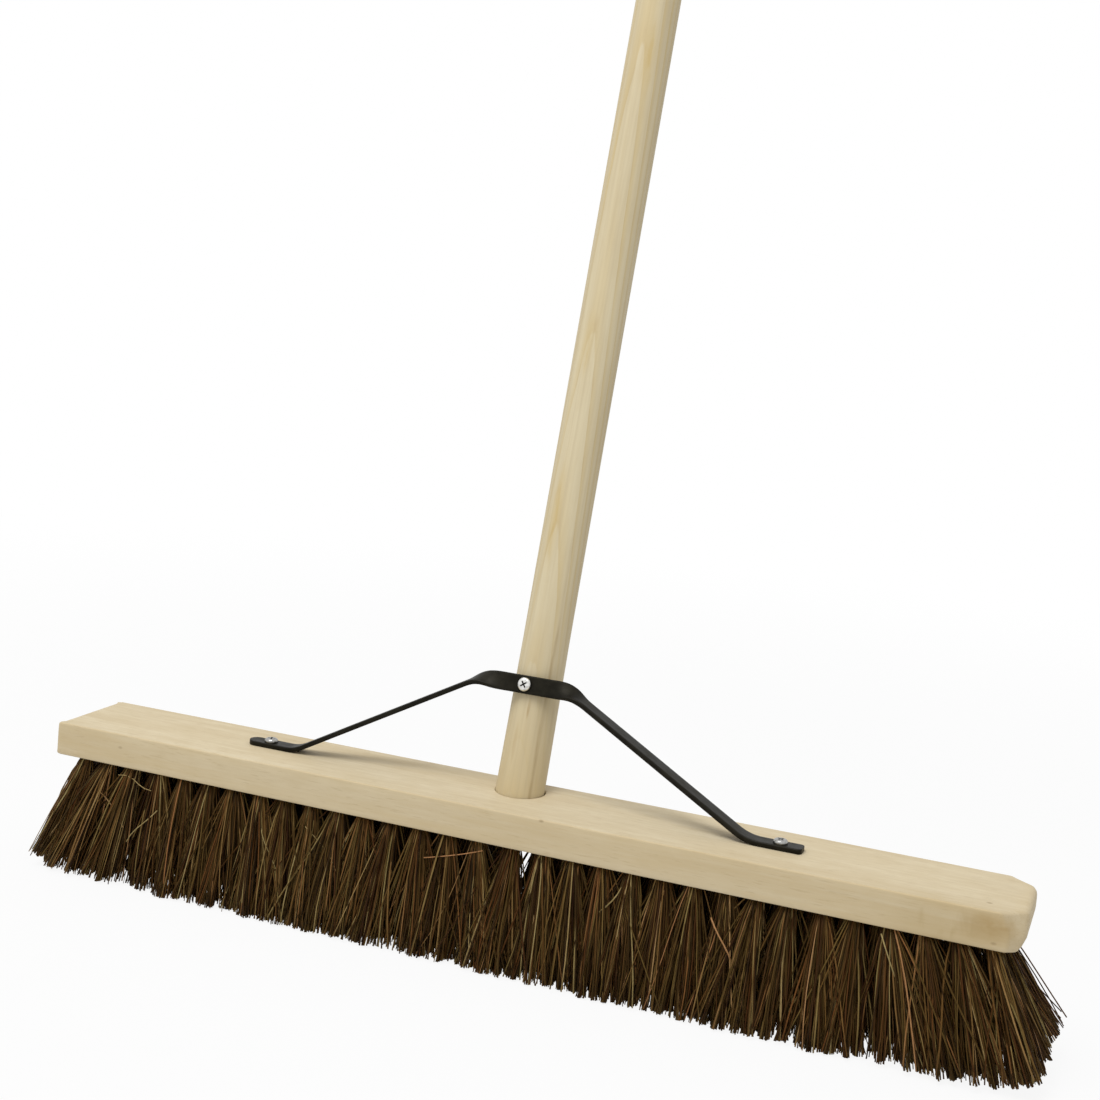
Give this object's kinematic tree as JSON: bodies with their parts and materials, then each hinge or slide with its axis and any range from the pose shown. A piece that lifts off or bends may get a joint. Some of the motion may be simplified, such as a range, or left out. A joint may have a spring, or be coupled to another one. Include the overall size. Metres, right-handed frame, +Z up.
{
  "type": "push broom",
  "caption": "Push broom with a long wooden stock of coarse brown natural bristle, a slanting round wooden handle, and a black flat-steel stay screwed to the handle and the stock.",
  "frame": {"origin": "on the floor, under the middle of the head, in the plane of the bristle tips", "axes": "+X along the head to the right as seen from the front, +Y to the back, where the handle leans, +Z up"},
  "size_m": [0.654, 0.415, 1.4088],
  "materials": {
    "stock_wood": "sanded bare hardwood, fine straight grain along the stock",
    "handle_wood": "turned bare softwood, growth rings along the handle",
    "black_steel": "satin black over flat mild steel strip",
    "zinc_plated_steel": "bright zinc plate",
    "bassine_fibre": "coarse dark brown palm fibre, dull",
    "staple_wire": "plain steel wire"
  },
  "bodies": {
    "root": {"stock": "stock_wood", "handle": "handle_wood", "stay": "black_steel", "stay_handle_screw": "zinc_plated_steel", "stay_foot_screw_left": "zinc_plated_steel", "stay_foot_screw_right": "zinc_plated_steel", "tufts_front_left": "bassine_fibre", "tufts_front_right": "bassine_fibre", "tufts_front_inner_left": "bassine_fibre", "tufts_front_inner_right": "bassine_fibre", "tufts_middle_left": "bassine_fibre", "tufts_middle_right": "bassine_fibre", "tufts_back_inner_left": "bassine_fibre", "tufts_back_inner_right": "bassine_fibre", "tufts_back_left": "bassine_fibre", "tufts_back_right": "bassine_fibre", "staples_front_left": "staple_wire", "staples_front_right": "staple_wire", "staples_front_inner_left": "staple_wire", "staples_front_inner_right": "staple_wire", "staples_middle_left": "staple_wire", "staples_middle_right": "staple_wire", "staples_back_inner_left": "staple_wire", "staples_back_inner_right": "staple_wire", "staples_back_left": "staple_wire", "staples_back_right": "staple_wire"}
  },
  "joints": []
}
